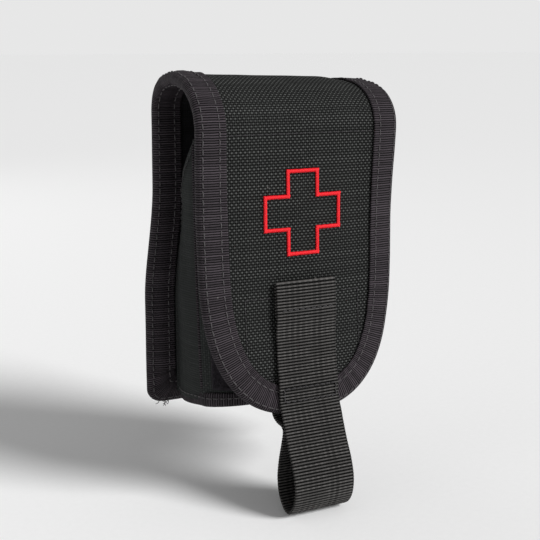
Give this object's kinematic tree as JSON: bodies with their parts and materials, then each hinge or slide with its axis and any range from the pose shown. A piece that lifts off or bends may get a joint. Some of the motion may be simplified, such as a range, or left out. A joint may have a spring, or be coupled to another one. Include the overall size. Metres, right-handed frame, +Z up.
{
  "type": "tourniquet pouch",
  "caption": "Black nylon belt pouch with a hinged rounded flap, a webbing pull loop and a red outline cross, holding a folded windlass tourniquet.",
  "frame": {"origin": "middle of the belt tunnel's height and width, on the rear face of the back panel", "axes": "+Z up, the flap and its cross face -Y, +X is to the right seen from the front"},
  "size_m": [0.092, 0.0758, 0.1674],
  "materials": {
    "ballistic_nylon": "coarse basket-weave ballistic nylon, black with a slight green-grey cast, matt",
    "pack_cloth": "plain-weave coated nylon, near black, soft sheen",
    "binding_tape": "ribbed grosgrain binding tape, black with a slight violet cast",
    "webbing": "flat ribbed nylon webbing, black, fuzzy",
    "lining": "smooth coated lining cloth, black",
    "foam": "closed-cell foam, black",
    "stiffener": "polyethylene sheet, black",
    "loop_fastener": "napped loop fastener tape, black",
    "hook_fastener": "moulded-hook fastener tape, black",
    "red_thread": "bright red satin-stitch embroidery thread",
    "tourniquet_webbing": "smooth black nylon band",
    "red_webbing": "red nylon band end",
    "pale_strap": "off-white writable band, blank",
    "moulded_nylon": "glass-filled moulded nylon, black, satin"
  },
  "bodies": {
    "root": {"back_shell": "ballistic_nylon", "back_stiffener": "stiffener", "back_lining": "lining", "back_binding": "binding_tape", "belt_loop": "ballistic_nylon", "pocket_front": "pack_cloth", "pocket_side_left": "pack_cloth", "pocket_side_right": "pack_cloth", "pocket_bottom": "pack_cloth", "pocket_bottom_binding": "binding_tape", "pocket_loop_tape": "loop_fastener", "tourniquet_band": "tourniquet_webbing", "tourniquet_band_tip": "red_webbing", "tourniquet_buckle": "moulded_nylon", "tourniquet_stabiliser": "moulded_nylon", "tourniquet_windlass_rod": "moulded_nylon", "tourniquet_inner_strap": "tourniquet_webbing", "tourniquet_windlass_clip": "moulded_nylon", "tourniquet_time_strap": "pale_strap"},
    "flap_fold": {"fold_shell": "ballistic_nylon", "fold_foam": "foam", "fold_lining": "lining", "fold_binding_left": "binding_tape", "fold_binding_right": "binding_tape"},
    "flap": {"flap_shell": "ballistic_nylon", "flap_foam": "foam", "flap_lining": "lining", "flap_binding": "binding_tape", "flap_hook_tape": "hook_fastener", "medical_cross": "red_thread", "pull_strap": "webbing", "pull_strap_tail": "webbing"},
    "pull_loop": {"pull_loop": "webbing"}
  },
  "joints": [
    {"name": "flap_lift", "type": "hinge", "parent": "root", "child": "flap_fold", "pos_m": [0, -0.00417, 0.07027], "axis": [-1, 0, 0], "range_deg": [0, 85]},
    {"name": "flap_unfold", "type": "hinge", "parent": "flap_fold", "child": "flap", "pos_m": [0, -0.04131, 0.06667], "axis": [-1, 0, 0], "range_deg": [0, 85]},
    {"name": "loop_swing", "type": "hinge", "parent": "flap", "child": "pull_loop", "pos_m": [0, -0.0563, -0.059], "axis": [-1, 0, 0], "range_deg": [-20, 95]}
  ],
  "couplings": [
    {"joint": "flap_unfold", "follows": "flap_lift", "ratio": 1}
  ]
}
